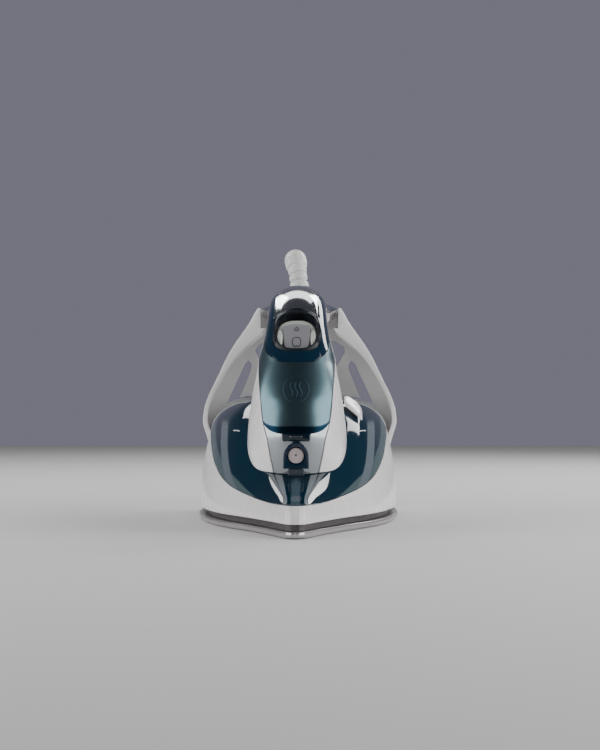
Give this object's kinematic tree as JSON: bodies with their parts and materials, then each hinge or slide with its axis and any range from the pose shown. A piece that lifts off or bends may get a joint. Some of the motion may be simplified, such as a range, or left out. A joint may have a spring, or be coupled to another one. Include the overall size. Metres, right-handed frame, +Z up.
{
  "type": "clothes iron",
  "caption": "Steam iron with a tinted water tank, a loop handle with a thumb rocker on its front, a bell-shaped heel rest, a swivelling flex and a two-pin plug.",
  "frame": {"origin": "centre of the iron's bounding box in plan, without its flex, at the underside of the soleplate", "axes": "-Y towards the tip of the soleplate, +Y towards the heel, +X to the right as seen from the tip, +Z up"},
  "size_m": [0.1264, 0.4575, 0.1706],
  "materials": {
    "silver_sole": "fine brushed coating",
    "cast_aluminium": "as cast",
    "inner_steel": "satin",
    "dark_plastic": "matt",
    "white_plastic": "gloss",
    "tinted_tank": "gloss, tinted",
    "navy_gloss": "high gloss",
    "teal_panel": "satin metallic",
    "chrome_plate": "polished",
    "grey_button": "satin",
    "pale_rocker": "satin",
    "grey_duct": "translucent grey",
    "flex_white": "smooth sheath",
    "circuit_board": "lacquered",
    "lamp_lens": "tinted lens",
    "plug_pins": "nickel plate"
  },
  "bodies": {
    "iron": {"soleplate": "silver_sole", "base_casting": "cast_aluminium", "heating_element": "inner_steel", "chamber_cover": "inner_steel", "heat_shield": "dark_plastic", "skirt": "white_plastic", "tank_shell": "tinted_tank", "tank_base": "grey_duct", "stem_tunnel": "grey_duct", "lead_tunnel": "grey_duct", "column_core": "navy_gloss", "column_shell_left": "white_plastic", "column_shell_right": "white_plastic", "front_panel": "teal_panel", "handle_top_cover": "navy_gloss", "rocker_well": "dark_plastic", "rocker_pin": "inner_steel", "chrome_trim": "chrome_plate", "handle_lower_shell": "white_plastic", "nozzle_housing": "navy_gloss", "spray_nozzle": "white_plastic", "nozzle_duct": "grey_duct", "fill_funnel": "grey_duct", "steam_pump_body": "grey_duct", "steam_spring": "inner_steel", "spray_pump_body": "grey_duct", "spray_spring": "inner_steel", "spray_tube": "grey_duct", "steam_tube": "grey_duct", "pilot_lens": "lamp_lens", "drip_valve": "inner_steel", "thermostat_body": "inner_steel", "thermal_fuse": "inner_steel", "terminal_block": "white_plastic", "control_board": "circuit_board", "board_relay": "dark_plastic", "mains_leads": "dark_plastic", "heel_frame": "white_plastic", "heel_screw_left": "inner_steel", "heel_screw_right": "inner_steel", "ball_socket": "dark_plastic", "cord_coil": "flex_white", "cord_tail": "flex_white", "plug_body": "flex_white", "plug_pin_rear": "plug_pins", "plug_pin_front": "plug_pins"},
    "rocker": {"rocker_body": "pale_rocker", "rocker_cap": "grey_button"},
    "steam_pump": {"steam_plunger": "grey_button"},
    "spray_pump": {"spray_plunger": "grey_button"},
    "dial": {"temperature_dial": "white_plastic", "thermostat_shaft": "inner_steel"},
    "clean_button": {"self_clean_button": "white_plastic"},
    "door": {"fill_door": "navy_gloss"},
    "swivel": {"cord_ball": "dark_plastic", "cord_guard": "flex_white", "cord_lead": "flex_white"}
  },
  "joints": [
    {"name": "rocker_tilt", "type": "hinge", "parent": "iron", "child": "rocker", "pos_m": [0, -0.05629, 0.10796], "axis": [1, 0, 0], "range_deg": [-8, 8], "stiffness_Nm_per_rad": 0.2},
    {"name": "steam_pump_slide", "type": "slide", "parent": "iron", "child": "steam_pump", "axis": [0, 0, 1], "range_m": [-0.0016, 0.0016], "deforming": ["steam_spring"]},
    {"name": "spray_pump_slide", "type": "slide", "parent": "iron", "child": "spray_pump", "axis": [0, 0, 1], "range_m": [-0.0016, 0.0016], "deforming": ["spray_spring"]},
    {"name": "dial_turn", "type": "hinge", "parent": "iron", "child": "dial", "pos_m": [0, 0.027, 0.08], "axis": [0, 0, 1], "range_deg": [-30, 240]},
    {"name": "clean_button_press", "type": "slide", "parent": "iron", "child": "clean_button", "axis": [0, 0, 1], "range_m": [-0.001, 0], "stiffness_N_per_m": 400},
    {"name": "fill_door_slide", "type": "slide", "parent": "iron", "child": "door", "axis": [0, 0, 1], "range_m": [0, 0.007]},
    {"name": "cord_swivel", "type": "hinge", "parent": "iron", "child": "swivel", "pos_m": [0, 0.132, 0.1335], "axis": [0, 0, 1], "range_deg": [-40, 40]}
  ],
  "couplings": [
    {"joint": "steam_pump_slide", "follows": "rocker_tilt", "m_per_rad": -0.009208},
    {"joint": "spray_pump_slide", "follows": "rocker_tilt", "m_per_rad": 0.003892}
  ]
}
